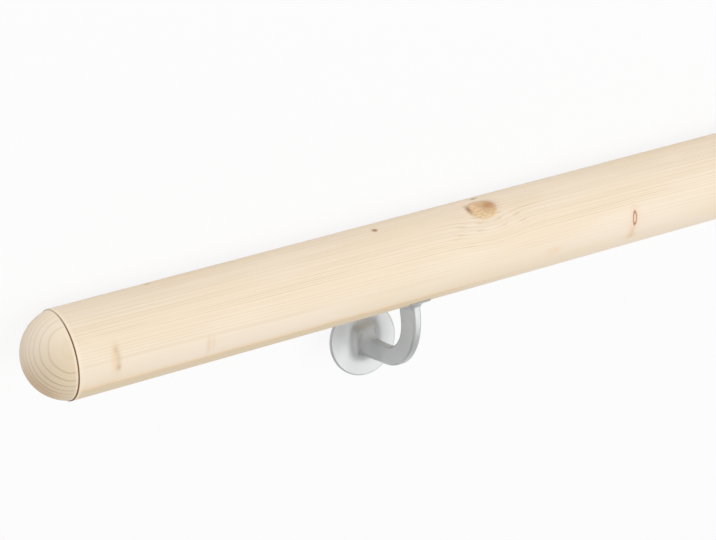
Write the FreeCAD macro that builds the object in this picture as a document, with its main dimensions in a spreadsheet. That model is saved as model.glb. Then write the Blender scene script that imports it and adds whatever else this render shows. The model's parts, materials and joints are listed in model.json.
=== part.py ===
import FreeCAD, Part
import math
import os
import Sketcher

Vector = FreeCAD.Vector

# Driving dimensions in millimetres: alias, value, what it measures
driving_sizes = [
    ("rail_length", 1500, "round wooden rail between its two end caps"),
    ("rail_diameter", 54, "round wooden rail"),
    ("joint_arris", 0.6, "eased edge on each side of a cap joint"),
    ("cap_depth", 21, "domed end cap from its joint to its crown"),
    ("spigot_diameter", 20, "turned spigot that plugs a cap into the rail"),
    ("spigot_length", 22, "turned spigot that plugs a cap into the rail"),
    ("glue_gap", 0.1, "between a spigot and its hole, all round"),
    ("bracket_inset", 233, "cap joint to the middle of the nearest bracket"),
    ("wall_offset", 64, "rail axis to the wall"),
    ("rose_drop", 64.1, "rail axis down to the middle of the wall rose"),
    ("rose_diameter", 47.5, "round wall rose"),
    ("rose_thickness", 2.2, "round wall rose at its rim"),
    ("rose_edge_radius", 1, "rounding of the rose's front rim"),
    ("rose_flare_radius", 8, "last hollow of the arm's two sides at the rose"),
    ("toe_radius", 3, "last hollow of the arm's underside at the rose"),
    ("fixing_diameter", 6.8, "tapped hole for the hanger bolt in the rose's back"),
    ("fixing_depth", 7, "tapped hole for the hanger bolt in the rose's back"),
    ("arm_thickness", 5.5, "hooked arm along the rail"),
    ("arm_top_depth", 17.4, "hooked arm across the rail at the top"),
    ("arm_bottom_depth", 12.6, "hooked arm from its inner to its outer edge at the rose"),
    ("arm_below_rose", 9.9, "middle of the rose down to the lowest edge of the arm"),
    ("arm_front_straight", 3.2, "upright front of the arm between the foot and its bend"),
    ("arm_rear_straight", 10.6, "upright back of the arm between the foot and its bend"),
    ("arm_edge_radius", 1.4, "rounding of the arm's long edges"),
    ("cup_radius", 20, "hollow of the arm where it rises up the rose"),
    ("cup_meeting", 68, "turn of that hollow, in degrees, where it meets the rose"),
    ("rose_meeting", 86, "turn of the last hollows, in degrees, where they meet the rose"),
    ("fan_radius", 43, "hollow of the arm's two sides where they widen to the rose"),
    ("fan_length", 22.9, "widening part of the arm in front of the rose"),
    ("foot_width", 14, "saddle foot along the rail"),
    ("foot_wrap", 62, "saddle foot round the rail, in degrees"),
    ("foot_thickness", 0.8, "saddle foot below the rail"),
    ("foot_flare_radius", 3.8, "flare from the arm into the foot"),
    ("least_flat", 0.3, "flat left between a flare and the edge beyond it"),
]

# The two ends of the rail, and the way that each one points along X
end_signs = {"left": -1, "right": 1}

# Values that several pieces share, written from the driving dimensions
rail_radius = "Sizes.rail_diameter / 2"
rose_radius = "Sizes.rose_diameter / 2"
rose_top = f"(Sizes.rose_drop - {rose_radius})"
rose_bottom = f"(Sizes.rose_drop + {rose_radius})"
foot_drop = f"({rail_radius} + Sizes.foot_thickness)"
inside_rail = f"({rail_radius} - Sizes.arm_top_depth / 4)"
joint_radius = f"({rail_radius} - Sizes.joint_arris)"
arm_drop = "(Sizes.rose_drop + Sizes.arm_below_rose)"
outer_bend_radius = f"({arm_drop} - {foot_drop} - Sizes.arm_front_straight)"
inner_bend_radius = f"({arm_drop} - Sizes.arm_bottom_depth - {foot_drop} - Sizes.arm_rear_straight)"

# The arm's sides are hollowed on the radius of the fan, from the plain arm to the rose
arm_half = "(Sizes.arm_thickness / 2)"
rose_face = "(Sizes.wall_offset - Sizes.rose_thickness)"
fan_start = f"({rose_face} - Sizes.fan_length)"
meeting_reach = "sin(Sizes.rose_meeting * 1 deg)"
cup_middle = f"({rose_face} - Sizes.cup_radius * sin(Sizes.cup_meeting * 1 deg))"
rose_flat = f"({rose_radius} - Sizes.rose_edge_radius - Sizes.least_flat)"
toe_flare = f"min(Sizes.toe_radius; {rose_flat} - Sizes.arm_below_rose)"
toe_middle = f"({rose_face} - {toe_flare} * {meeting_reach})"
flare_middle = f"({rose_face} - Sizes.rose_flare_radius * {meeting_reach})"
arm_end = f"({rose_face} + {toe_flare} * (1 - {meeting_reach}) / 2)"
fan_clear = "(Sizes.arm_thickness + Sizes.fan_radius)"

# The foot's flare ends inside the edge of the foot
foot_flare = "min(Sizes.foot_flare_radius; (Sizes.foot_width - Sizes.arm_thickness) / 2 - Sizes.least_flat)"

# Unheld, the rail lies on its back with the upper rims of the roses on the floor.
# The floor then touches the rail and those rims, which gives the angle it lies at.
reach_to_rim = f"sqrt(Sizes.wall_offset ^ 2 + {rose_top} ^ 2)"
lay_angle = f"(atan2({rose_top}; Sizes.wall_offset) + asin({rail_radius} / {reach_to_rim}))"
lay_turn = f"{lay_angle} - 180 deg"
floor_reach = f"(Sizes.wall_offset * cos({lay_angle}) + {rose_bottom} * sin({lay_angle}))"
rail_axis_y = f"({floor_reach} - {rail_radius}) / 2"
rail_axis_z = rail_radius

# How near an edge has to lie to the place it is looked for at
nearness = 0.01

# Where a value starts before its expression sets it
first_angle = 45
first_radius = 5
first_drop = 1

doc = FreeCAD.newDocument("Handrail")


def fill_sheet():
    sheet = doc.addObject("Spreadsheet::Sheet", "Sizes")
    for row, (alias, value, meaning) in enumerate(driving_sizes, start=1):
        sheet.set(f"A{row}", meaning)
        sheet.set(f"B{row}", str(value))
        sheet.setAlias(f"B{row}", alias)
    doc.recompute()
    return sheet


def bind(thing, **expressions):
    for path, expression in expressions.items():
        thing.setExpression(path.replace("__", "."), expression)


def lay_down(piece, along="0"):
    piece.Placement = FreeCAD.Placement(Vector(0, 0, 0), FreeCAD.Rotation(Vector(1, 0, 0), first_angle))
    bind(
        piece,
        Placement__Base__x=along,
        Placement__Base__y=rail_axis_y,
        Placement__Base__z=rail_axis_z,
        Placement__Rotation__Angle=lay_turn,
    )


def add_sketch(body, name, plane_role, **offset):
    sketch = body.newObject("Sketcher::SketchObject", name)
    plane = [p for p in body.Origin.OriginFeatures if p.Role == plane_role][0]
    sketch.AttachmentSupport = [(plane, "")]
    sketch.MapMode = "FlatFace"
    for direction, expression in offset.items():
        sketch.setExpression(f"AttachmentOffset.Base.{direction}", expression)
    return sketch


def dimension(sketch, name, expression, *constraint):
    index = sketch.addConstraint(Sketcher.Constraint(*constraint))
    sketch.renameConstraint(index, name)
    sketch.setExpression(f"Constraints.{name}", expression)


def circle_sketch(body, name, plane_role, radius, centre_drop=None, **offset):
    sketch = add_sketch(body, name, plane_role, **offset)
    centre = Vector(0, -first_drop if centre_drop else 0, 0)
    sketch.addGeometry(Part.Circle(centre, Vector(0, 0, 1), first_radius), False)
    dimension(sketch, "radius", radius, "Radius", 0, first_radius)
    if centre_drop:
        sketch.addConstraint(Sketcher.Constraint("PointOnObject", 0, 3, -2))
        dimension(sketch, "drop", centre_drop, "DistanceY", 0, 3, -1, 1, first_drop)
    else:
        sketch.addConstraint(Sketcher.Constraint("Coincident", 0, 3, -1, 1))
    return sketch


def add_feature(body, kind, name, profile, reversed_side=False, symmetric=False, length="1"):
    feature = body.newObject(f"PartDesign::{kind}", name)
    feature.Profile = profile
    feature.Reversed = reversed_side
    feature.Midplane = symmetric
    bind(feature, Length=length)
    doc.recompute()
    return feature


def finish_edges(body, kind, name, chosen, size):
    base = body.Tip
    names = [f"Edge{i}" for i, edge in enumerate(base.Shape.Edges, start=1) if chosen(edge)]
    finish = body.newObject(f"PartDesign::{kind}", name)
    finish.Base = (base, names)
    bind(finish, **size)
    doc.recompute()
    return finish


def lies_at(edge, axis, value):
    low = getattr(edge.BoundBox, axis + "Min")
    high = getattr(edge.BoundBox, axis + "Max")
    return abs(low - value) < nearness and abs(high - value) < nearness


def is_rim(edge, diameter):
    if edge.Degenerated or not isinstance(edge.Curve, Part.Circle):
        return False
    return abs(2 * edge.Curve.Radius - diameter) < nearness


def make_rail():
    body = doc.addObject("PartDesign::Body", "handrail")
    section = circle_sketch(body, "RailSection", "YZ_Plane", rail_radius)
    add_feature(body, "Pad", "RailLength", section, symmetric=True, length="Sizes.rail_length")
    finish_edges(
        body, "Chamfer", "JointArris",
        lambda edge: is_rim(edge, sheet.rail_diameter),
        {"Size": "Sizes.joint_arris"},
    )
    hole_radius = "Sizes.spigot_diameter / 2 + Sizes.glue_gap"
    hole_depth = "Sizes.spigot_length + Sizes.glue_gap"
    for side, sign in end_signs.items():
        mouth = f"{sign} * Sizes.rail_length / 2"
        hole = circle_sketch(body, f"SpigotHole_{side}", "YZ_Plane", hole_radius, z=mouth)
        add_feature(body, "Pocket", f"SpigotPocket_{side}", hole, reversed_side=sign < 0, length=hole_depth)
    lay_down(body)
    return body


def cap_profile(body, side):
    sketch = add_sketch(body, f"CapProfile_{side}", "XY_Plane")
    edge = sheet.rail_diameter / 2 - sheet.joint_arris
    plug = sheet.spigot_diameter / 2
    back = -sheet.spigot_length
    crown = sheet.cap_depth
    dome_radius = (crown ** 2 + edge ** 2) / (2 * crown)
    dome_angle = math.atan2(edge, dome_radius - crown)
    dome_circle = Part.Circle(Vector(crown - dome_radius, 0, 0), Vector(0, 0, 1), dome_radius)
    sketch.addGeometry([
        Part.LineSegment(Vector(back, 0, 0), Vector(back, plug, 0)),
        Part.LineSegment(Vector(back, plug, 0), Vector(0, plug, 0)),
        Part.LineSegment(Vector(0, plug, 0), Vector(0, edge, 0)),
        Part.ArcOfCircle(dome_circle, 0, dome_angle),
        Part.LineSegment(Vector(crown, 0, 0), Vector(back, 0, 0)),
    ], False)
    plug_end, plug_side, joint, dome, axis = range(5)
    first, last, middle = 1, 2, 3
    origin = (-1, 1)
    sketch.addConstraint([
        Sketcher.Constraint("Coincident", plug_end, last, plug_side, first),
        Sketcher.Constraint("Coincident", plug_side, last, joint, first),
        Sketcher.Constraint("Coincident", joint, last, dome, last),
        Sketcher.Constraint("Coincident", dome, first, axis, first),
        Sketcher.Constraint("Coincident", axis, last, plug_end, first),
        Sketcher.Constraint("Vertical", plug_end),
        Sketcher.Constraint("Horizontal", plug_side),
        Sketcher.Constraint("Vertical", joint),
        Sketcher.Constraint("PointOnObject", joint, first, -2),
        Sketcher.Constraint("PointOnObject", dome, middle, -1),
        Sketcher.Constraint("PointOnObject", dome, first, -1),
        Sketcher.Constraint("PointOnObject", plug_end, first, -1),
    ])
    dimension(sketch, "plug_length", "Sizes.spigot_length", "DistanceX", plug_end, first, *origin, -back)
    dimension(sketch, "plug_radius", "Sizes.spigot_diameter / 2", "DistanceY", *origin, plug_side, last, plug)
    dimension(sketch, "edge", joint_radius, "DistanceY", *origin, joint, last, edge)
    dimension(sketch, "crown", "Sizes.cap_depth", "DistanceX", *origin, dome, first, crown)
    return sketch


def make_cap(side, sign):
    body = doc.addObject("PartDesign::Body", f"end_cap_{side}")
    profile = cap_profile(body, side)
    turned = body.newObject("PartDesign::Revolution", f"TurnedCap_{side}")
    turned.Profile = profile
    turned.ReferenceAxis = (profile, ["H_Axis"])
    turned.Angle = 360
    doc.recompute()
    facing = 0 if sign > 0 else 180
    body.Placement = FreeCAD.Placement(Vector(0, 0, 0), FreeCAD.Rotation(Vector(0, 0, 1), facing))
    bind(
        body,
        Placement__Base__x=f"{sign} * Sizes.rail_length / 2",
        Placement__Base__y=rail_axis_y,
        Placement__Base__z=rail_axis_z,
    )
    return body


def meeting_places():
    face = sheet.wall_offset - sheet.rose_thickness
    room = sheet.rose_diameter / 2 - sheet.rose_edge_radius - sheet.least_flat - sheet.arm_below_rose
    toe = min(sheet.toe_radius, room)
    reach = math.sin(math.radians(sheet.rose_meeting))
    return face, reach, toe, face + toe * (1 - reach) / 2


def arm_outline(body):
    sketch = add_sketch(body, "ArmOutline", "YZ_Plane")
    face, reach, toe_size, end = meeting_places()
    half = sheet.arm_top_depth / 2
    top = -sheet.rail_diameter / 2
    foot = top - sheet.foot_thickness
    low = -sheet.rose_drop - sheet.arm_below_rose
    inner_low = low + sheet.arm_bottom_depth
    outer = foot - sheet.arm_front_straight - low
    inner = foot - sheet.arm_rear_straight - inner_low
    cup = sheet.cup_radius
    cup_y = face - cup * math.sin(math.radians(sheet.cup_meeting))
    cup_turn = math.asin((end - cup_y) / cup)
    cup_top = inner_low + cup - cup * math.cos(cup_turn)
    toe_y = face - toe_size * reach
    toe_turn = math.asin((end - toe_y) / toe_size)
    toe_low = low - toe_size + toe_size * math.cos(toe_turn)
    upright = Vector(0, 0, 1)
    outer_circle = Part.Circle(Vector(outer - half, low + outer, 0), upright, outer)
    inner_circle = Part.Circle(Vector(inner + half, inner_low + inner, 0), upright, inner)
    cup_circle = Part.Circle(Vector(cup_y, inner_low + cup, 0), upright, cup)
    toe_circle = Part.Circle(Vector(toe_y, low - toe_size, 0), upright, toe_size)
    down = 1.5 * math.pi
    sketch.addGeometry([
        Part.LineSegment(Vector(-half, top, 0), Vector(-half, low + outer, 0)),
        Part.ArcOfCircle(outer_circle, math.pi, down),
        Part.LineSegment(Vector(outer - half, low, 0), Vector(toe_y, low, 0)),
        Part.ArcOfCircle(toe_circle, math.pi / 2 - toe_turn, math.pi / 2),
        Part.LineSegment(Vector(end, toe_low, 0), Vector(end, cup_top, 0)),
        Part.ArcOfCircle(cup_circle, down, down + cup_turn),
        Part.LineSegment(Vector(cup_y, inner_low, 0), Vector(inner + half, inner_low, 0)),
        Part.ArcOfCircle(inner_circle, math.pi, down),
        Part.LineSegment(Vector(half, inner_low + inner, 0), Vector(half, top, 0)),
        Part.LineSegment(Vector(half, top, 0), Vector(-half, top, 0)),
    ], False)
    front, outer_bend, under, toe, back, rise, over, inner_bend, rear, head = range(10)
    first, last, middle = 1, 2, 3
    sketch.addConstraint([
        Sketcher.Constraint("Tangent", front, last, outer_bend, first),
        Sketcher.Constraint("Tangent", outer_bend, last, under, first),
        Sketcher.Constraint("Tangent", under, last, toe, last),
        Sketcher.Constraint("Coincident", toe, first, back, first),
        Sketcher.Constraint("Coincident", back, last, rise, last),
        Sketcher.Constraint("Tangent", rise, first, over, first),
        Sketcher.Constraint("Tangent", over, last, inner_bend, last),
        Sketcher.Constraint("Tangent", inner_bend, first, rear, first),
        Sketcher.Constraint("Coincident", rear, last, head, first),
        Sketcher.Constraint("Coincident", head, last, front, first),
        Sketcher.Constraint("Vertical", front),
        Sketcher.Constraint("Vertical", back),
        Sketcher.Constraint("Vertical", rear),
        Sketcher.Constraint("Horizontal", under),
        Sketcher.Constraint("Horizontal", over),
        Sketcher.Constraint("Horizontal", head),
    ])
    origin = (-1, 1)
    depth = sheet.arm_bottom_depth
    dimension(sketch, "front", "Sizes.arm_top_depth / 2", "DistanceX", front, first, *origin, half)
    dimension(sketch, "rear", "Sizes.arm_top_depth / 2", "DistanceX", *origin, rear, last, half)
    dimension(sketch, "head", inside_rail, "DistanceY", head, first, *origin, -top)
    dimension(sketch, "drop", arm_drop, "DistanceY", under, first, *origin, -low)
    dimension(sketch, "depth", "Sizes.arm_bottom_depth", "DistanceY", under, first, over, last, depth)
    dimension(sketch, "end", arm_end, "DistanceX", *origin, back, first, end)
    dimension(sketch, "outer", outer_bend_radius, "Radius", outer_bend, outer)
    dimension(sketch, "inner", inner_bend_radius, "Radius", inner_bend, inner)
    dimension(sketch, "cup", "Sizes.cup_radius", "Radius", rise, cup)
    dimension(sketch, "cup_middle", cup_middle, "DistanceX", *origin, rise, middle, cup_y)
    dimension(sketch, "toe", toe_flare, "Radius", toe, toe_size)
    dimension(sketch, "toe_middle", toe_middle, "DistanceX", *origin, toe, middle, toe_y)
    return sketch


def side_outline(body, name, way):
    sketch = add_sketch(body, name, "XY_Plane")
    face, reach, _, end = meeting_places()
    flare = sheet.rose_flare_radius
    flare_y = face - flare * reach
    half = sheet.arm_thickness / 2
    hollow = sheet.fan_radius
    front = -sheet.arm_top_depth
    begin = face - sheet.fan_length
    turn = math.asin((flare_y - begin) / (hollow - flare))
    flare_x = half + hollow - (hollow - flare) * math.cos(turn)
    last_turn = math.asin((end - flare_y) / flare)
    wide = flare_x - flare * math.cos(last_turn)
    clear = sheet.arm_thickness + hollow
    fan_circle = Part.Circle(Vector(way * (half + hollow), begin, 0), Vector(0, 0, 1), hollow)
    flare_circle = Part.Circle(Vector(way * flare_x, flare_y, 0), Vector(0, 0, 1), flare)
    fan_sweep = (math.pi - turn, math.pi) if way > 0 else (0, turn)
    flare_sweep = (math.pi - last_turn, math.pi - turn) if way > 0 else (turn, last_turn)
    sketch.addGeometry([
        Part.LineSegment(Vector(way * half, front, 0), Vector(way * half, begin, 0)),
        Part.ArcOfCircle(fan_circle, *fan_sweep),
        Part.ArcOfCircle(flare_circle, *flare_sweep),
        Part.LineSegment(Vector(way * wide, end, 0), Vector(way * clear, end, 0)),
        Part.LineSegment(Vector(way * clear, end, 0), Vector(way * clear, front, 0)),
        Part.LineSegment(Vector(way * clear, front, 0), Vector(way * half, front, 0)),
    ], False)
    plain, fan, spread, back, outside, ahead = range(6)
    first, last, middle = 1, 2, 3
    near, far = (last, first) if way > 0 else (first, last)
    sketch.addConstraint([
        Sketcher.Constraint("Tangent", plain, last, fan, near),
        Sketcher.Constraint("Tangent", fan, far, spread, near),
        Sketcher.Constraint("Coincident", spread, far, back, first),
        Sketcher.Constraint("Coincident", back, last, outside, first),
        Sketcher.Constraint("Coincident", outside, last, ahead, first),
        Sketcher.Constraint("Coincident", ahead, last, plain, first),
        Sketcher.Constraint("Vertical", plain),
        Sketcher.Constraint("Vertical", outside),
        Sketcher.Constraint("Horizontal", back),
        Sketcher.Constraint("Horizontal", ahead),
    ])
    origin = (-1, 1)
    side = (*origin, plain, first) if way > 0 else (plain, first, *origin)
    beyond = (*origin, outside, first) if way > 0 else (outside, first, *origin)
    dimension(sketch, "side", arm_half, "DistanceX", *side, half)
    dimension(sketch, "clear", fan_clear, "DistanceX", *beyond, clear)
    dimension(sketch, "ahead", "Sizes.arm_top_depth", "DistanceY", plain, first, *origin, -front)
    dimension(sketch, "begin", fan_start, "DistanceY", *origin, fan, middle, begin)
    dimension(sketch, "spread_middle", flare_middle, "DistanceY", *origin, spread, middle, flare_y)
    dimension(sketch, "end", arm_end, "DistanceY", *origin, back, first, end)
    dimension(sketch, "hollow", "Sizes.fan_radius", "Radius", fan, hollow)
    dimension(sketch, "spread", "Sizes.rose_flare_radius", "Radius", spread, flare)
    return sketch


def is_arm_edge(edge):
    half = sheet.arm_thickness / 2 - nearness
    begin = sheet.wall_offset - sheet.rose_thickness - sheet.fan_length
    box = edge.BoundBox
    on_side = box.XMin > half or box.XMax < -half
    is_upright = box.XLength < nearness and box.YLength < nearness
    is_seam = is_upright and box.YMin > begin - nearness
    return on_side and not is_seam and not lies_at(edge, "Z", highest(sheet))


def highest(sizes):
    return -(sizes.rail_diameter / 2 - sizes.arm_top_depth / 4)


def saddle_section(body, side):
    sketch = add_sketch(body, f"FootSection_{side}", "XZ_Plane")
    half = sheet.foot_width / 2
    low = -sheet.rail_diameter / 2 - sheet.foot_thickness
    high = highest(sheet)
    sketch.addGeometry([
        Part.LineSegment(Vector(-half, low, 0), Vector(half, low, 0)),
        Part.LineSegment(Vector(half, low, 0), Vector(half, high, 0)),
        Part.LineSegment(Vector(half, high, 0), Vector(-half, high, 0)),
        Part.LineSegment(Vector(-half, high, 0), Vector(-half, low, 0)),
    ], False)
    first, last = 1, 2
    for line in range(4):
        sketch.addConstraint(Sketcher.Constraint("Coincident", line, last, (line + 1) % 4, first))
        sketch.addConstraint(Sketcher.Constraint("Vertical" if line % 2 else "Horizontal", line))
    origin = (-1, 1)
    dimension(sketch, "left", "Sizes.foot_width / 2", "DistanceX", 0, first, *origin, half)
    dimension(sketch, "right", "Sizes.foot_width / 2", "DistanceX", *origin, 0, last, half)
    dimension(sketch, "low", foot_drop, "DistanceY", 0, first, *origin, -low)
    dimension(sketch, "high", inside_rail, "DistanceY", 2, first, *origin, -high)
    return sketch


def is_on_saddle(edge):
    reach = sheet.rail_diameter / 2 + sheet.foot_thickness
    ends = [math.hypot(vertex.Point.y, vertex.Point.z) for vertex in edge.Vertexes]
    inside = abs(edge.BoundBox.XMin) < sheet.foot_width / 2 - nearness
    inside = inside and abs(edge.BoundBox.XMax) < sheet.foot_width / 2 - nearness
    return inside and all(abs(end - reach) < nearness for end in ends)


def make_bracket(side, sign):
    body = doc.addObject("PartDesign::Body", f"bracket_{side}")
    outline = arm_outline(body)
    add_feature(body, "Pad", f"Arm_{side}", outline, symmetric=True, length="Sizes.rose_diameter")
    for face_name, way in end_signs.items():
        cut = side_outline(body, f"ArmSide_{face_name}_{side}", way)
        add_feature(body, "Pocket", f"Fan_{face_name}_{side}", cut, symmetric=True, length=f"4 * {arm_drop}")
    finish_edges(body, "Fillet", f"ArmEdges_{side}", is_arm_edge, {"Radius": "Sizes.arm_edge_radius"})
    at_wall = {"centre_drop": "Sizes.rose_drop", "z": "-Sizes.wall_offset"}
    plate = circle_sketch(body, f"RosePlate_{side}", "XZ_Plane", rose_radius, **at_wall)
    add_feature(body, "Pad", f"Rose_{side}", plate, length="Sizes.rose_thickness")
    face = sheet.wall_offset - sheet.rose_thickness
    finish_edges(
        body, "Fillet", f"RoseRim_{side}",
        lambda edge: lies_at(edge, "Y", face) and is_rim(edge, sheet.rose_diameter),
        {"Radius": "Sizes.rose_edge_radius"},
    )
    section = saddle_section(body, side)
    saddle = body.newObject("PartDesign::Revolution", f"Foot_{side}")
    saddle.Profile = section
    saddle.ReferenceAxis = (section, ["H_Axis"])
    saddle.Midplane = True
    bind(saddle, Angle="Sizes.foot_wrap * 1 deg")
    doc.recompute()
    finish_edges(body, "Fillet", f"FootFlare_{side}", is_on_saddle, {"Radius": foot_flare})
    seat = circle_sketch(body, f"RailSeat_{side}", "YZ_Plane", rail_radius)
    add_feature(body, "Pocket", f"Seat_{side}", seat, symmetric=True, length="2 * Sizes.foot_width")
    tapped = "Sizes.fixing_diameter / 2"
    hole = circle_sketch(body, f"FixingHole_{side}", "XZ_Plane", tapped, **at_wall)
    add_feature(body, "Pocket", f"Fixing_{side}", hole, reversed_side=True, length="Sizes.fixing_depth")
    lay_down(body, f"{sign} * (Sizes.rail_length / 2 - Sizes.bracket_inset)")
    return body


def check(pieces):
    broken = [o.Label for o in doc.Objects if "Invalid" in o.State or "Error" in o.State]
    for piece in pieces:
        if piece.Shape.isNull() or not piece.Shape.isValid() or len(piece.Shape.Solids) != 1:
            broken.append(piece.Label)
    if broken:
        raise RuntimeError("not built: " + ", ".join(broken))


sheet = fill_sheet()
pieces = [make_rail()]
for side, sign in end_signs.items():
    pieces.append(make_cap(side, sign))
    pieces.append(make_bracket(side, sign))
doc.recompute()
check(pieces)
os.makedirs("parts", exist_ok=True)
for piece in pieces:
    piece.Shape.exportStep(f"parts/{piece.Label}.step")
    print(piece.Label, round(piece.Shape.Volume), piece.Shape.BoundBox)
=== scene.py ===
import json
import math

import bmesh
import bpy
from mathutils import Matrix, Vector


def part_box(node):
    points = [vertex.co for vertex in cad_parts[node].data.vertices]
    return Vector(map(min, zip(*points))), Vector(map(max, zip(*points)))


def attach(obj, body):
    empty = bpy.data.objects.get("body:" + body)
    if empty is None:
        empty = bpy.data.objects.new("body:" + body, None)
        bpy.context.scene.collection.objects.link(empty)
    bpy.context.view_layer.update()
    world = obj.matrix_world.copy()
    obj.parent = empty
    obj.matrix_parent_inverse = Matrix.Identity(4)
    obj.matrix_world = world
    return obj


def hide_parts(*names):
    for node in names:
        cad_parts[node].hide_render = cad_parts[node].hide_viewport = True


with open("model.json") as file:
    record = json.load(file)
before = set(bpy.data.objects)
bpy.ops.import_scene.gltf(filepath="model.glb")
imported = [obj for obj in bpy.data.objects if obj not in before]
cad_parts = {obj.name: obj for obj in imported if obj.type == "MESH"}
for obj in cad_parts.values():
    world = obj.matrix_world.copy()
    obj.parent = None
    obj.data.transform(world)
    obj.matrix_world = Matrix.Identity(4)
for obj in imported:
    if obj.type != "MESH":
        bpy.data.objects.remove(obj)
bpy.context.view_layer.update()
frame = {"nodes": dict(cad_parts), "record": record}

nodes = frame["nodes"]
mounts = {mount["name"]: mount for mount in frame["record"]["mounts"]}
print("frame loaded:", ", ".join(sorted(nodes)))

# The rail as a hand finds it on the wall: x from the left joint, y into the wall, z up
railLow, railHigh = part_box("handrail")
railLength = railHigh.x - railLow.x
railAxis = (railLow + railHigh) / 2
railRadius = round((railHigh.y - railLow.y) / 2, 4)  # facets fall a hair short of the round
wallWay = mounts["wall_face_left"]["axis"]
layTurn = math.atan2(wallWay[2], wallWay[1])  # how far the rail is rolled over to lie down
jointPlace = Vector((railLow.x, railAxis.y, railAxis.z))
inUse = Matrix.Translation(jointPlace) @ Matrix.Rotation(layTurn, 4, "X")
perMetre = 1000  # materials measure in millimetres


# Screen levels to straight light
def tint(red, green, blue):
    def straight(level):
        level /= 255
        return level / 12.92 if level <= 0.04045 else ((level + 0.055) / 1.055) ** 2.4
    return (straight(red), straight(green), straight(blue), 1)


def grey(level):
    return (level, level, level, 1)


def addObject(name, data):
    thing = bpy.data.objects.new(name, data)
    bpy.context.collection.objects.link(thing)
    return thing


# What an object's modifiers make, as a mesh without them
def plainMesh(grower, sharpAngle, place=Matrix()):
    evaluated = grower.evaluated_get(bpy.context.evaluated_depsgraph_get())
    mesh = bpy.data.meshes.new_from_object(evaluated)
    bpy.data.objects.remove(grower)
    mesh.transform(place)
    mesh.shade_smooth()
    mesh.set_sharp_from_angle(angle=math.radians(sharpAngle))
    return mesh


class Wire:
    def __init__(self, tree, socket=None):
        self.tree = tree
        self.socket = socket

    def node(self, kind, settings, inputs, output=0):
        made = self.tree.nodes.new(kind)
        for name, value in settings.items():
            setattr(made, name, value)
        for key, value in inputs.items():
            if isinstance(value, Wire):
                self.tree.links.new(value.socket, made.inputs[key])
            else:
                made.inputs[key].default_value = value
        return Wire(self.tree, made.outputs[output] if made.outputs else None)

    def out(self, name):
        return Wire(self.tree, self.socket.node.outputs[name])

    def maths(self, operation, *values):
        return self.node("ShaderNodeMath", {"operation": operation}, dict(enumerate(values)))

    def __add__(self, other):
        return self.maths("ADD", self, other)

    def __sub__(self, other):
        return self.maths("SUBTRACT", self, other)

    def __mul__(self, other):
        return self.maths("MULTIPLY", self, other)

    def __truediv__(self, other):
        return self.maths("DIVIDE", self, other)

    def __rsub__(self, other):
        return self.maths("SUBTRACT", other, self)

    def __rtruediv__(self, other):
        return self.maths("DIVIDE", other, self)

    __radd__ = __add__
    __rmul__ = __mul__

    def root(self):
        return self.maths("SQRT", self)

    def fraction(self):
        return self.maths("FRACT", self)

    def least(self, other):
        return self.maths("MINIMUM", self, other)

    def most(self, other):
        return self.maths("MAXIMUM", self, other)

    def bell(self, width):
        return self.maths("EXPONENT", self * self * (-1 / width ** 2))

    def ease(self, low, high):
        inputs = {"Value": self, "From Min": low, "From Max": high, "To Min": 0.0, "To Max": 1.0}
        return self.node("ShaderNodeMapRange", {"interpolation_type": "SMOOTHSTEP"}, inputs)

    def noise(self, scale, detail=2.0, rough=0.5):
        where = self.node("ShaderNodeVectorMath", {"operation": "MULTIPLY"}, {0: self, 1: scale})
        inputs = {"Vector": where, "Scale": 1.0, "Detail": detail, "Roughness": rough}
        return self.node("ShaderNodeTexNoise", {}, inputs)

    def blend(self, first, second):
        settings = {"data_type": "RGBA", "blend_type": "MIX"}
        return self.node("ShaderNodeMix", settings, {0: self, 6: first, 7: second}, output=2)

    def parts(self):
        split = self.node("ShaderNodeSeparateXYZ", {}, {0: self})
        return split, split.out("Y"), split.out("Z")


def largest(masks):
    whole = masks[0]
    for mask in masks[1:]:
        whole = whole.most(mask)
    return whole


def newMaterial(name):
    material = bpy.data.materials.new(name)
    material.use_nodes = True
    material.node_tree.nodes.clear()
    return material, Wire(material.node_tree)


def finishMaterial(tree, surface):
    tree.node("ShaderNodeOutputMaterial", {}, {"Surface": surface})


def objectPlace(tree):
    return tree.node("ShaderNodeTexCoord", {}, {}, output=3)


# Object coordinates in millimetres, turned to the rail as it is used
def handPlace(tree):
    turned = Matrix.Rotation(-layTurn, 3, "X")
    return tree.node("ShaderNodeMapping", {}, {
        "Vector": objectPlace(tree), "Location": -(turned @ jointPlace) * perMetre,
        "Rotation": (-layTurn, 0, 0), "Scale": [perMetre] * 3})


def growthRings(distance, spacing, start, rise):
    turn = (distance / spacing + start).fraction()
    return turn.ease(rise, 0.90) * (1 - turn.ease(0.92, 1.0))  # slow to darken, then a sharp end


woodFinish = {
    "roughness": 0.5,
    "fibreRoughness": 0.2,
    "specular": 0.25,
    "bump": 0.08,
    "bumpDepth": 0.0004,
}


def finishWood(tree, wood, fibre, height, finish):
    bump = tree.node("ShaderNodeBump", {}, {
        "Strength": finish["bump"], "Distance": finish["bumpDepth"], "Height": height})
    surface = tree.node("ShaderNodeBsdfPrincipled", {}, {
        "Base Color": wood, "Roughness": fibre * finish["fibreRoughness"] + finish["roughness"],
        "Specular IOR Level": finish["specular"], "Normal": bump})
    finishMaterial(tree, surface)


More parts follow.
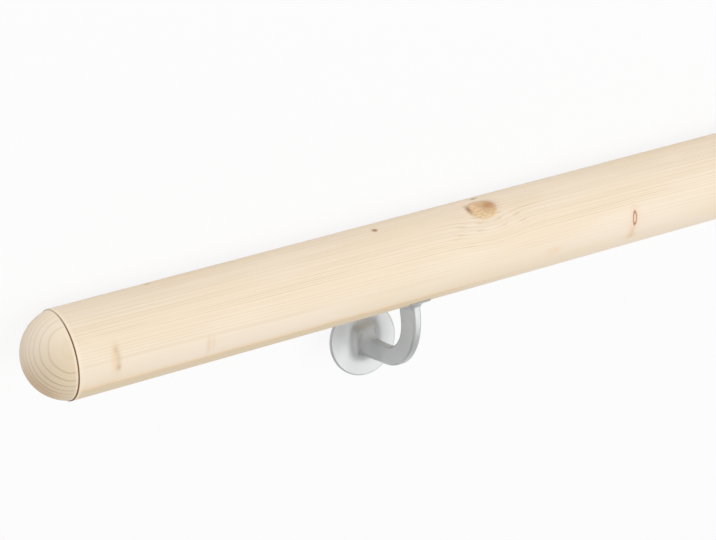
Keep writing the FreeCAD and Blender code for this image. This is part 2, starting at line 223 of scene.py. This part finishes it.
# Lengths in millimetres, angles in degrees from the wall side over the top
# Noise scales are along, across and up
railLook = {
    "radius": railRadius * perMetre,
    "pith": (44.0, 60.0),  # across and up from the rail's axis
    "pithLean": (-0.006, -0.011),
    "ring": 1.3,
    "ringStart": 0.30,
    "ringRise": 0.45,
    "uneven": 2.4,  # broad and narrow rings
    "unevenScale": 0.35,
    "wander": 3.0,
    "wanderScale": (0.0032, 0.022, 0.022),
    "edgeOn": (0.3, 0.95),  # the rings show least where they lie along the surface
    "cloudScale": (0.012, 0.16, 0.16),
    "clouds": (0.3, 0.62),
    "cloudShare": 0.7,
    "fibreScale": (0.02, 1.7, 1.7),
    "fibreShare": 0.4,
    "patchScale": (0.008, 0.05, 0.05),
    "patches": (0.35, 0.65),
    "early": tint(243, 228, 208),
    "warm": tint(241, 224, 199),
    "late": tint(222, 199, 165),
    "lateShare": 0.75,
    "lateBump": 0.3,
    "knots": [
        # along, angle round the rail, half length, half width, fill, rim, open below, bend
        (283.2, 119, 10.2, 8.8, 0.82, 0.24, 1.0, 0.35),
        (210.0, 105.6, 1.5, 1.6, 0.9, 0.4, 0.0, 0.4),
        (387.0, 188.1, 1.4, 4.5, 0.6, 0.8, 0.0, 0.3),
        (548, 68, 4.5, 4.0, 0.8, 0.8, 0.0, 0.7),
        (655, 232, 7.0, 6.0, 0.8, 0.6, 0.6, 0.7),
        (742, 140, 2.0, 2.2, 0.9, 0.8, 0.0, 0.6),
        (873, 310, 5.5, 5.0, 0.7, 0.7, 0.0, 0.7),
        (968, 96, 8.0, 6.5, 0.85, 0.6, 0.8, 0.7),
        (1093, 204, 2.0, 5.0, 0.4, 0.75, 0.0, 0.6),
        (1215, 292, 3.0, 3.0, 0.8, 0.8, 0.0, 0.6),
        (1326, 128, 5.0, 4.2, 0.8, 0.7, 0.3, 0.7),
        (1431, 45, 2.4, 2.2, 0.9, 0.8, 0.0, 0.6),
    ],
    "knotEdge": (0.82, 1.06),  # shares of a knot's half size
    "knotOpen": (-0.5, 0.6),
    "knotBend": 1.9,
    "rimPlace": 0.92,
    "rimWidth": 0.12,
    "rimExtra": 0.2,
    "rimMost": 0.26,
    "knotFill": tint(240, 211, 166),
    "knotGrain": tint(214, 176, 128),
    "knotRim": tint(148, 98, 62),
    "streakScale": (0.25, 0.9, 0.9),
    "streaks": (0.35, 0.65),
    "marks": [
        # along, angle round the rail, half length, half width, colour, strength
        (288.0, 115, 5.6, 4.4, tint(178, 124, 84), 0.75),
        (274.8, 114.5, 1.6, 4.0, tint(150, 110, 72), 0.7),
        (283.0, 96, 13.0, 3.0, tint(246, 226, 206), 0.6),
        (285.8, 90, 2.2, 1.0, tint(96, 76, 58), 0.9),
        (61.7, 86, 2.2, 1.0, tint(168, 140, 110), 0.6),
        (210.0, 105.6, 1.5, 1.3, tint(140, 104, 64), 0.8),
        (387.0, 187, 3.8, 8.0, tint(242, 206, 178), 0.6),
        (386.0, 207, 2.2, 4.0, tint(230, 200, 166), 0.65),
        (386.0, 216, 3.6, 2.2, tint(224, 188, 150), 0.55),
        (24.9, 184, 1.9, 7.4, tint(212, 186, 146), 0.55),
        (22.0, 185, 1.6, 7.4, tint(240, 206, 172), 0.55),
        (23.9, 173, 1.5, 2.2, tint(204, 172, 132), 0.4),
        (24.9, 196, 1.5, 1.8, tint(198, 154, 110), 0.5),
        (82.8, 201, 1.3, 6.0, tint(236, 206, 176), 0.65),
        (85.9, 199, 1.2, 5.4, tint(236, 210, 182), 0.55),
        (326, 203, 5.0, 2.4, tint(240, 208, 170), 0.5),
        (505, 175, 0.9, 7.0, tint(224, 198, 162), 0.6),
        (793, 215, 1.0, 6.0, tint(222, 194, 156), 0.6),
        (1158, 120, 1.0, 6.0, tint(224, 198, 162), 0.6),
    ],
    # a broad band of late wood low on the rail
    "band": {
        "start": 218.8,
        "slope": 0.024,
        "fade": (215, 335),
        "ragged": 5,
        "raggedScale": (0.06, 0.02, 0.02),
        "near": (-1.0, 1.5),
        "far": (34.0, 48.0),
        "wood": tint(224, 204, 172),
        "share": 0.85,
        "edge": tint(240, 209, 169),
        "edgeWidth": 3.4,
        "edgeShare": 0.55,
    },
    # a painted highlight along each end, then the dark line of the joint, deepened lower down by painted
    # shade in its groove, so it is faint on top
    "ends": {
        "paintedHighlight": tint(248, 233, 210),
        "paintedHighlightFade": (1.6, 3.4),
        "paintedHighlightShare": 0.6,
        "joint": tint(122, 78, 28),
        "jointFade": (0.55, 0.85),
        # painted shade: the joint line darkens from the top down round the rail, as shade falls in its
        # groove
        "jointShadeRound": (85, 145),
        "jointTop": 0.34,
        "jointShadeMore": 0.62,
    },
}


# 90 on top, 180 in front
def aroundRail(across, up):
    return across.maths("ARCTAN2", up * -1, across * -1) * (180 / math.pi) + 180


# How far off a spot's middle, in its half length and half width
def offSpot(look, along, around, x, degrees, halfLength, halfWidth):
    arc = look["radius"] * math.pi / 180  # millimetres to a degree
    return (along - x) / halfLength, (around - degrees) * (arc / halfWidth)


def growKnots(look, along, around, distance):
    filled, rimmed = [], []
    for x, degrees, halfLength, halfWidth, fill, rim, opened, bend in look["knots"]:
        angle = math.radians(degrees)
        side = Vector((-math.sin(angle), math.cos(angle)))
        away = Vector((math.cos(angle), math.sin(angle))) * look["radius"] - Vector(look["pith"])
        dx, ds = offSpot(look, along, around, x, degrees, halfLength, halfWidth)
        reach = (dx * dx + ds * ds).root()
        push = bend * halfWidth * side.dot(away.normalized())
        distance = distance - ds * reach.bell(look["knotBend"]) * push
        filled.append((1 - reach.ease(*look["knotEdge"])) * fill)
        width = min(look["rimMost"], look["rimWidth"] + look["rimExtra"] / halfLength)
        closed = 1 - ds.ease(*look["knotOpen"]) * opened
        rimmed.append((reach - look["rimPlace"]).bell(width) * rim * closed)
    return distance, largest(filled), largest(rimmed)


def paintMarks(wood, look, along, around):
    for x, degrees, halfLength, halfWidth, colour, strength in look["marks"]:
        dx, ds = offSpot(look, along, around, x, degrees, halfLength, halfWidth)
        wood = (wood.maths("EXPONENT", (dx * dx + ds * ds) * -1) * strength).blend(wood, colour)
    return wood


def paintBand(wood, band, place, along, around):
    ragged = (place.noise(band["raggedScale"]) - 0.5) * band["ragged"]
    edge = around - (along * band["slope"] + band["start"]) + ragged
    lasting = 1 - along.ease(*band["fade"])
    body = edge.ease(*band["near"]) * (1 - edge.ease(*band["far"])) * lasting
    wood = (body * band["share"]).blend(wood, band["wood"])
    return (edge.bell(band["edgeWidth"]) * lasting * band["edgeShare"]).blend(wood, band["edge"])


def paintEnds(wood, ends, along, around):
    off = along.least(railLength * perMetre - along)
    # painted highlight: a pale strip along the rail's ends beside the joint
    wood = ((1 - off.ease(*ends["paintedHighlightFade"])) * ends["paintedHighlightShare"]).blend(wood, ends["paintedHighlight"])
    # the joint's own dark line, with painted shade in its groove added lower down the rail
    dark = around.ease(*ends["jointShadeRound"]) * ends["jointShadeMore"] + ends["jointTop"]
    return ((1 - off.ease(*ends["jointFade"])) * dark).blend(wood, ends["joint"])


def railMaterial(look, finish):
    material, tree = newMaterial("pale spruce rail")
    place = handPlace(tree)
    along, across, up = place.parts()
    around = aroundRail(across, up)
    pithAcross = across - look["pith"][0] - along * look["pithLean"][0]
    pithUp = up - look["pith"][1] - along * look["pithLean"][1]
    wander = (place.noise(look["wanderScale"]) - 0.5) * look["wander"]
    distance = (pithAcross * pithAcross + pithUp * pithUp).root() + wander
    uneven = tree.node("ShaderNodeTexNoise", {"noise_dimensions": "1D"}, {
        "W": distance, "Scale": look["unevenScale"], "Detail": 1.0})
    distance = distance + (uneven - 0.5) * look["uneven"]
    distance, filled, rimmed = growKnots(look, along, around, distance)
    edgeOn = tree.maths("ABSOLUTE", across * pithUp - up * pithAcross) / (distance * look["radius"])
    clouded = place.noise(look["cloudScale"]).ease(*look["clouds"])
    late = growthRings(distance, look["ring"], look["ringStart"], look["ringRise"])
    late = late * edgeOn.ease(*look["edgeOn"]) * (clouded * look["cloudShare"] + (1 - look["cloudShare"]))
    fibre = place.noise(look["fibreScale"], detail=3.0, rough=0.6)
    patch = place.noise(look["patchScale"]).ease(*look["patches"])
    base = patch.blend(look["early"], look["warm"])
    wood = (late * look["lateShare"] + (fibre - 0.5) * look["fibreShare"]).blend(base, look["late"])
    wood = paintBand(wood, look["band"], place, along, around)
    streak = place.noise(look["streakScale"], detail=3.0, rough=0.7).ease(*look["streaks"])
    wood = filled.blend(wood, streak.blend(look["knotFill"], look["knotGrain"]))
    wood = paintMarks(wood, look, along, around)
    wood = rimmed.blend(wood, look["knotRim"])
    wood = paintEnds(wood, look["ends"], along, around)
    finishWood(tree, wood, fibre, fibre + late * look["lateBump"], finish)
    return material


capLook = {
    "layers": (0.254, 0.894, -0.369),  # square to the growth layers
    "ring": 3.0,
    "ringStart": 0.27,
    "ringRise": 0.70,
    "core": (-24.6, -23.4),  # the rings nearer the heart than this are faint
    "coreShare": 0.2,
    "close": (-12.5, -9.5),  # and from here on they lie twice as close
    "closeRise": 0.5,
    "closeShare": 0.5,
    "wander": 1.6,
    "wanderScale": (0.05, 0.05, 0.05),
    "fibreScale": (0.4, 1.2, 1.2),
    "fibreShare": 0.12,
    "low": (-12.0, 14.0),  # down from the rail's axis
    "out": (2.0, 14.0),  # out from the joint
    # painted shade: the cap goes from its early colour to the darker middle colour down and toward the
    # front
    "shade": (-10.0, 26.0),
    "early": tint(247, 231, 210),
    "middle": tint(231, 212, 183),
    "red": tint(240, 209, 174),
    "redLayers": (-15.0, -6.0),
    "redShare": 0.5,
    "late": tint(184, 162, 130),
    "lateLow": tint(150, 94, 56),
    "lateShare": 0.27,
    "lateMore": 0.24,  # added low on the cap
    # painted highlight: a pale strip along the cap's edge at the joint
    "paintedHighlight": tint(246, 231, 208),
    "paintedHighlightFade": (0.6, 1.8),
    "paintedHighlightShare": 0.7,
}


def capMaterial(look, finish):
    material, tree = newMaterial("turned spruce cap")
    place = handPlace(tree)
    along, across, up = place.parts()
    wander = (place.noise(look["wanderScale"]) - 0.5) * look["wander"]
    layer = along * look["layers"][0] + across * look["layers"][1] + up * look["layers"][2] + wander
    late = growthRings(layer, look["ring"], look["ringStart"], look["ringRise"])
    late = late * (layer.ease(*look["core"]) * (1 - look["coreShare"]) + look["coreShare"])
    close = growthRings(layer, look["ring"] / 2, look["ringStart"], look["closeRise"])
    close = close * layer.ease(*look["close"])
    fibre = place.noise(look["fibreScale"], detail=3.0, rough=0.6)
    off = (along * -1).most(along - railLength * perMetre)
    low = (up * -1).ease(*look["low"])
    redder = low * off.ease(*look["out"])
    # painted shade, darker down and toward the front
    base = (up * -1 - across).ease(*look["shade"]).blend(look["early"], look["middle"])
    base = (redder * layer.ease(*look["redLayers"]) * look["redShare"]).blend(base, look["red"])
    line = redder.blend(look["late"], look["lateLow"])
    dark = late * (low * look["lateMore"] + look["lateShare"]) + close * redder * look["closeShare"]
    wood = (dark + (fibre - 0.5) * look["fibreShare"]).blend(base, line)
    # painted highlight along the cap's edge at the joint
    wood = ((1 - off.ease(*look["paintedHighlightFade"])) * look["paintedHighlightShare"]).blend(wood, look["paintedHighlight"])
    finishWood(tree, wood, fibre, fibre, finish)
    return material


turnedSizes = {
    "arris": 0.0006,
    "sides": 256,
    "railRings": 40,
    "domeRings": 48,
    "sharp": 25,
}


def turnedTree(name, inputs):
    tree = bpy.data.node_groups.new(name, "GeometryNodeTree")
    tree.interface.new_socket("Geometry", in_out="OUTPUT", socket_type="NodeSocketGeometry")
    for label, kind in inputs.items():
        tree.interface.new_socket(label, in_out="INPUT", socket_type=kind)
    wire = Wire(tree)
    given = wire.node("NodeGroupInput", {}, {})
    return tree, wire, {label: given.out(label) for label in inputs}


# A round swept along a straight line, whose points go where x and radius say
def sweepRound(wire, given, count, x, radius):
    line = wire.node("GeometryNodeCurvePrimitiveLine", {}, {"Start": (0, 0, 0), "End": (1, 0, 0)})
    line = wire.node("GeometryNodeResampleCurve", {}, {"Curve": line, "Count": count})
    where = wire.node("ShaderNodeCombineXYZ", {}, {"X": x})
    line = wire.node("GeometryNodeSetPosition", {}, {"Geometry": line, "Position": where})
    ring = wire.node("GeometryNodeCurvePrimitiveCircle", {}, {"Resolution": given["Sides"], "Radius": 1.0})
    swept = wire.node("GeometryNodeCurveToMesh", {}, {
        "Curve": line, "Profile Curve": ring, "Scale": radius, "Fill Caps": True})
    swept = wire.node("GeometryNodeMergeByDistance", {}, {"Geometry": swept, "Distance": 1e-6})
    swept = wire.node("GeometryNodeTransform", {}, {
        "Geometry": swept, "Translation": given["Place"], "Rotation": given["Turn"]})
    swept = wire.node("GeometryNodeRealizeInstances", {}, {"Geometry": swept})
    swept = wire.node("GeometryNodeSetMaterial", {}, {"Geometry": swept, "Material": given["Wood"]})
    wire.node("NodeGroupOutput", {}, {0: swept})


def railTree():
    tree, wire, given = turnedTree("turned rail", {
        "Length": "NodeSocketFloat", "Radius": "NodeSocketFloat", "Arris": "NodeSocketFloat",
        "Rings": "NodeSocketInt", "Sides": "NodeSocketInt",
        "Place": "NodeSocketVector", "Turn": "NodeSocketRotation", "Wood": "NodeSocketMaterial"})
    step = wire.node("GeometryNodeInputIndex", {}, {})
    length, arris = given["Length"], given["Arris"]
    x = arris + (length - arris * 2) * ((step - 1) / (given["Rings"] - 3))
    x = x.most(0.0).least(length)
    eased = (x.least(length - x) / arris).least(1.0)
    sweepRound(wire, given, given["Rings"], x, given["Radius"] - arris * (1 - eased))
    return tree


def capTree():
    tree, wire, given = turnedTree("turned cap", {
        "Crown": "NodeSocketFloat", "Edge": "NodeSocketFloat",
        "Rings": "NodeSocketInt", "Sides": "NodeSocketInt",
        "Place": "NodeSocketVector", "Turn": "NodeSocketRotation", "Wood": "NodeSocketMaterial"})
    step = wire.node("GeometryNodeInputIndex", {}, {}) / (given["Rings"] - 1)
    crown, edge = given["Crown"], given["Edge"]
    dome = (crown * crown + edge * edge) / (crown * 2)
    middle = crown - dome
    start = wire.maths("ARCTAN2", 0 - middle, edge)
    swing = start + (math.pi / 2 - start) * step
    x = middle + dome * wire.maths("SINE", swing)
    sweepRound(wire, given, given["Rings"], x, (dome * wire.maths("COSINE", swing)).most(0.0))
    return tree


def growPiece(name, tree, sharp, values):
    grower = addObject(name + " grower", bpy.data.meshes.new(name))
    modifier = grower.modifiers.new("turned", "NODES")
    modifier.node_group = tree
    for item in tree.interface.items_tree:
        if item.in_out == "INPUT":
            modifier[item.identifier] = values[item.name]
    return addObject(name, plainMesh(grower, sharp))


def placeTurned(sizes, railWood, capWood):
    shared = {"Sides": sizes["sides"], "Radius": railRadius, "Arris": sizes["arris"]}
    rail = growPiece("turned_rail", railTree(), sizes["sharp"], {
        **shared, "Length": railLength, "Rings": sizes["railRings"],
        "Place": jointPlace, "Turn": (0, 0, 0), "Wood": railWood})
    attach(rail, "root")
    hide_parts("handrail")
    dome = capTree()
    crown = round(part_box("end_cap_right")[1].x - railHigh.x, 4)
    farJoint = jointPlace + Vector((railLength, 0, 0))
    for side, place, turn in (("left", jointPlace, math.pi), ("right", farJoint, 0)):
        cap = growPiece("turned_cap_" + side, dome, sizes["sharp"], {
            **shared, "Crown": crown, "Edge": railRadius - sizes["arris"], "Rings": sizes["domeRings"],
            "Place": place, "Turn": (0, 0, turn), "Wood": capWood})
        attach(cap, "root")
        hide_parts("end_cap_" + side)


placeTurned(turnedSizes, railMaterial(railLook, woodFinish), capMaterial(capLook, woodFinish))
print("turned wood made")

bracketLook = {
    "metal": tint(195, 197, 197),
    "dull": tint(187, 189, 189),
    "clouds": (0.3, 0.7),
    "metallic": 0.6,
    "roughness": 0.31,
    "uneven": 0.06,
    "cloud": 60.0,  # to a metre
    "skin": 900.0,  # grains of the cast skin to a metre
    "bump": 0.06,
    "bumpDepth": 0.0002,
}


def bracketMaterial(look):
    material, tree = newMaterial("satin cast bracket")
    place = objectPlace(tree)
    skin = place.noise([look["skin"]] * 3, detail=3.0, rough=0.6)
    cloud = place.noise([look["cloud"]] * 3)
    bump = tree.node("ShaderNodeBump", {}, {
        "Strength": look["bump"], "Distance": look["bumpDepth"], "Height": skin})
    surface = tree.node("ShaderNodeBsdfPrincipled", {}, {
        "Base Color": cloud.ease(*look["clouds"]).blend(look["metal"], look["dull"]),
        "Metallic": look["metallic"],
        "Roughness": cloud * look["uneven"] + skin * look["uneven"] + look["roughness"], "Normal": bump})
    finishMaterial(tree, surface)
    return material


softSizes = {
    "roseThick": 0.0022,
    "weld": 1e-6,
    "flat": 0.3,  # facets nearer level than this are joined before the cut
    "slack": 1e-5,
    "grid": 0.0011,
    "gridHalf": 0.0215,
    "gridOut": (-0.0165, -0.0005),  # from the rose's face, along the arm
    "hole": 0.0036,  # the fixing hole behind the neck is left alone
    "holeEnd": -0.006,
    "width": 0.0222,  # how far out over the rose the casting is softened
    "widthFade": 3.5,
    "reach": 0.0175,  # and how far out along the arm
    "reachFade": 1.4,
    "dome": 0.0012,
    "rounds": 800,
    "strength": 0.5,
    "sharp": 30,
}


# The middle of a rose's front face, with the rail in use
def roseMiddle(side, thick):
    bolt = inUse.inverted() @ Vector(mounts["wall_bolt_" + side]["pos_m"])
    wall = inUse.inverted() @ Vector(mounts["wall_face_" + side]["pos_m"])
    return round(bolt.x, 4), round(wall.y, 4) - thick, round(bolt.z, 4)


def cutFacets(shape, axis, low, high, sizes):
    normal = Vector((0, 0, 0))
    normal[axis] = 1
    for index in range(math.floor((high - low) / sizes["grid"]) + 1):
        cut = normal * (low + index * sizes["grid"])
        parts = shape.verts[:] + shape.edges[:] + shape.faces[:]
        bmesh.ops.bisect_plane(shape, geom=parts, dist=sizes["slack"], plane_co=cut, plane_no=normal)


# How much a point of the neck is smoothed, and how far the dome lifts it
def softNeck(place, sizes):
    off = math.hypot(place.x, place.z)
    if place.y > sizes["slack"] or (off < sizes["hole"] and place.y > sizes["holeEnd"]):
        return 0.0, 0.0
    out = max(0.0, 1 - off / sizes["width"])
    along = max(0.0, 1 + place.y / sizes["reach"])
    weight = min(1.0, sizes["widthFade"] * out) * min(1.0, sizes["reachFade"] * along)
    return weight, sizes["dome"] * out * along


# The bracket's own facets, cut finely round the neck
def cutBracket(side, middle, sizes):
    shape = bmesh.new()
    shape.from_mesh(nodes["bracket_" + side].data)
    bmesh.ops.remove_doubles(shape, verts=shape.verts, dist=sizes["weld"])
    bmesh.ops.dissolve_limit(
        shape, angle_limit=math.radians(sizes["flat"]), verts=shape.verts, edges=shape.edges)
    shape.transform(middle.inverted())
    half = sizes["gridHalf"]
    for axis, low, high in ((0, -half, half), (2, -half, half), (1, *sizes["gridOut"])):
        cutFacets(shape, axis, low, high, sizes)
    mesh = bpy.data.meshes.new("cast_bracket_" + side)
    shape.to_mesh(mesh)
    shape.free()
    return mesh


# The casting runs softly from the arm into the rose
def softenBracket(side, sizes, metal):
    middle = inUse @ Matrix.Translation(roseMiddle(side, sizes["roseThick"]))
    mesh = cutBracket(side, middle, sizes)
    mesh.materials.append(metal)
    rough = addObject(mesh.name + " rough", mesh)
    neck = rough.vertex_groups.new(name="neck")
    for vertex in mesh.vertices:
        weight, rise = softNeck(vertex.co, sizes)
        neck.add([vertex.index], weight, "REPLACE")
        vertex.co.y -= rise
    smooth = rough.modifiers.new("soft neck", "SMOOTH")
    smooth.factor, smooth.iterations, smooth.vertex_group = sizes["strength"], sizes["rounds"], neck.name
    piece = addObject("cast_bracket_" + side, plainMesh(rough, sizes["sharp"], middle))
    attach(piece, "root")
    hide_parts("bracket_" + side)
    print("bracket", side, len(piece.data.vertices), "points")


castMetal = bracketMaterial(bracketLook)
for side in ("left", "right"):
    softenBracket(side, softSizes, castMetal)

stageSizes = {
    "floor": 14.0,
    "floorWhite": 0.86,
    "glow": 0.88,  # how much of the floor's white is its own
    "sky": (0.2, 0.35),  # at the horizon and overhead
    "skyRise": (0.0, 0.7),
    "backdrop": 0.95,  # behind the rail, a brighter part of the sky
    "backdropWay": (0.5, -0.87),
    "backdropFade": (0.3, 0.8),
    "backdropTop": (0.4, 0.7),
    "lamps": [
        # place and aim as the rail lies, width, height, watts
        ((-0.9, -0.1, 1.9), (-0.9, -0.1, 0.0), 3.8, 2.8, 11.5),
        ((0.3, 0.6, 1.85), (-0.4, 0.0, 0.0), 3.2, 1.4, 21),
        ((-2.7, 0.05, 1.2), (-0.5, 0.0, 0.05), 2.4, 1.5, 7.5),
        ((-0.6, 2.6, 0.45), (-0.4, 0.0, 0.0), 2.8, 0.8, 24),
    ],
}


def makeFloor(sizes):
    half = sizes["floor"] / 2
    corners = [(-half, -half, 0), (half, -half, 0), (half, half, 0), (-half, half, 0)]
    mesh = bpy.data.meshes.new("floor")
    mesh.from_pydata(corners, [], [(0, 1, 2, 3)])
    material, tree = newMaterial("pale floor")
    rays = tree.node("ShaderNodeLightPath", {}, {})
    seen = largest([rays.out(kind) for kind in ("Is Camera Ray", "Is Glossy Ray", "Is Transmission Ray")])
    matt = tree.node("ShaderNodeBsdfDiffuse", {}, {"Color": grey(sizes["floorWhite"])})
    white = tree.node("ShaderNodeEmission", {}, {"Strength": 1.0})
    finishMaterial(tree, tree.node("ShaderNodeMixShader", {}, {0: seen * sizes["glow"], 1: matt, 2: white}))
    mesh.materials.append(material)
    floor = addObject("floor", mesh)


def makeSky(sizes):
    world = bpy.data.worlds.new("studio")
    bpy.context.scene.world = world
    world.use_nodes = True
    world.node_tree.nodes.clear()
    tree = Wire(world.node_tree)
    sideways, ahead, upward = tree.node("ShaderNodeTexCoord", {}, {}).parts()
    horizon, overhead = sizes["sky"]
    shade = upward.ease(*sizes["skyRise"]).blend(grey(horizon), grey(overhead))
    wayX, wayY = sizes["backdropWay"]
    behind = (sideways * wayX + ahead * wayY).ease(*sizes["backdropFade"])
    behind = behind * (1 - upward.ease(*sizes["backdropTop"]))
    shade = behind.blend(shade, grey(sizes["backdrop"]))
    light = tree.node("ShaderNodeBackground", {}, {"Color": shade, "Strength": 1.0})
    tree.node("ShaderNodeOutputWorld", {}, {"Surface": light})


def makeLamp(index, place, aim, width, height, watts):
    light = bpy.data.lights.new(f"softbox {index}", "AREA")
    light.shape = "RECTANGLE"
    light.size, light.size_y, light.energy = width, height, watts
    lamp = addObject(light.name, light)
    lamp.location = place
    lamp.rotation_euler = (Vector(aim) - Vector(place)).to_track_quat("-Z", "Y").to_euler()


makeFloor(stageSizes)
makeSky(stageSizes)
for index, lamp in enumerate(stageSizes["lamps"]):
    makeLamp(index, *lamp)
print("stage lit")

cameraView = {
    "lens": 131.12,
    "sensor": 36.0,
    "clipEnd": 60,
    # place and directions as the rail is held in use
    "place": (-0.537489, -1.312691, 0.442136),
    "right": (0.85165, -0.51350, -0.10491),
    "down": (-0.23183, -0.18957, -0.95411),
    "ahead": (0.47004, 0.83689, -0.28049),
}


def makeCamera(view):
    lens = bpy.data.cameras.new("camera")
    lens.lens, lens.sensor_width, lens.sensor_fit = view["lens"], view["sensor"], "HORIZONTAL"
    lens.clip_end = view["clipEnd"]
    camera = addObject("camera", lens)
    axes = Matrix((view["right"], view["down"], view["ahead"])).transposed()
    axes = axes @ Matrix.Diagonal((1, -1, -1))
    camera.matrix_world = inUse @ Matrix.Translation(view["place"]) @ axes.to_4x4()
    bpy.context.scene.camera = camera


makeCamera(cameraView)
bpy.context.scene.view_settings.view_transform = "Standard"
print("camera set")
